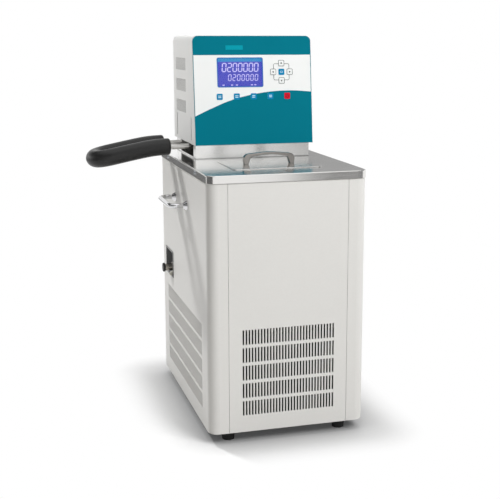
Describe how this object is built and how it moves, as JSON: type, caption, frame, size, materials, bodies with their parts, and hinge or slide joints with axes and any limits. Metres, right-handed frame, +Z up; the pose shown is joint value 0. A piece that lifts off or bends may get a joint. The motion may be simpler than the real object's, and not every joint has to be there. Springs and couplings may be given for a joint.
{
  "type": "heated circulating bath",
  "caption": "Floor-standing refrigerated and heated circulating bath: vented cabinet, stainless deck with lid, control head on a short neck and an insulated hose loop.",
  "frame": {"origin": "on the floor under the middle of the cabinet and its side handles", "axes": "+Z up, +X to the right as seen from the front, +Y to the rear"},
  "size_m": [0.543, 0.4836, 0.788],
  "materials": {
    "white_paint": "warm white powder coat, satin",
    "galvanised": "zinc-coated sheet",
    "stainless": "stainless steel, fine brushed",
    "chrome": "bright chrome plate",
    "zinc_screw": "zinc-plated screws",
    "foam_hose": "black closed-cell foam sleeve",
    "foam_jacket": "rigid foam",
    "teal_film": "printed satin film, teal and white",
    "grey_plastic": "light grey moulding",
    "clear_window": "clear window",
    "display": "blue display with light digits",
    "board": "green board",
    "black_shell": "black enamel",
    "black_rubber": "black rubber",
    "fins": "bare aluminium",
    "copper": "copper tube",
    "black_plastic": "black moulding",
    "nickel": "nickel-plated brass",
    "white_nylon": "white nylon"
  },
  "bodies": {
    "cabinet": {"base_pan": "galvanised", "bath_tank": "stainless", "capillary_line": "copper", "compressor": "black_shell", "compressor_grommets": "black_rubber", "condenser": "fins", "condenser_line": "copper", "control_board": "board", "control_fascia": "grey_plastic", "cooling_coil": "stainless", "deck": "stainless", "deck_screws": "zinc_screw", "discharge_line": "copper", "display_module": "display", "display_window": "clear_window", "drain_pipe": "nickel", "drain_recess": "white_paint", "drain_spout": "white_nylon", "drain_valve": "nickel", "fan_motor": "black_shell", "fan_shroud": "galvanised", "filter_drier": "copper", "foot_screws": "zinc_screw", "front_left_foot": "black_rubber", "front_panel": "white_paint", "front_right_foot": "black_rubber", "handle_screws": "zinc_screw", "head_base": "white_paint", "head_hood": "white_paint", "hose": "foam_hose", "immersion_heater": "stainless", "keypad_overlay": "teal_film", "left_handle": "chrome", "left_side_panel": "white_paint", "lid": "stainless", "lid_handle": "chrome", "lid_handle_screws": "zinc_screw", "neck_skirt": "stainless", "outlet_pipe": "stainless", "power_inlet": "black_plastic", "pump_column": "stainless", "pump_housing": "stainless", "pump_motor": "black_shell", "pump_plate": "galvanised", "rear_left_foot": "black_rubber", "rear_panel": "white_paint", "rear_right_foot": "black_rubber", "relay_box": "grey_plastic", "return_pipe": "stainless", "right_handle": "chrome", "right_side_panel": "white_paint", "suction_line": "copper", "tank_insulation": "foam_jacket", "temperature_probe": "stainless"},
    "pump_rotor": {"pump_shaft": "stainless", "pump_impeller": "stainless"},
    "fan_rotor": {"fan": "fins"},
    "drain_tap": {"drain_knob": "black_plastic"}
  },
  "joints": [
    {"name": "pump_spin", "type": "hinge", "parent": "cabinet", "child": "pump_rotor", "pos_m": [-0.005, 0.072, 0.5], "axis": [0, 0, 1], "continuous": true},
    {"name": "fan_spin", "type": "hinge", "parent": "cabinet", "child": "fan_rotor", "pos_m": [0, -0.1615, 0.1185], "axis": [0, 1, 0], "continuous": true},
    {"name": "drain_turn", "type": "hinge", "parent": "cabinet", "child": "drain_tap", "pos_m": [-0.165, 0.15, 0.274], "axis": [-1, 0, 0], "range_deg": [0, 90]}
  ]
}
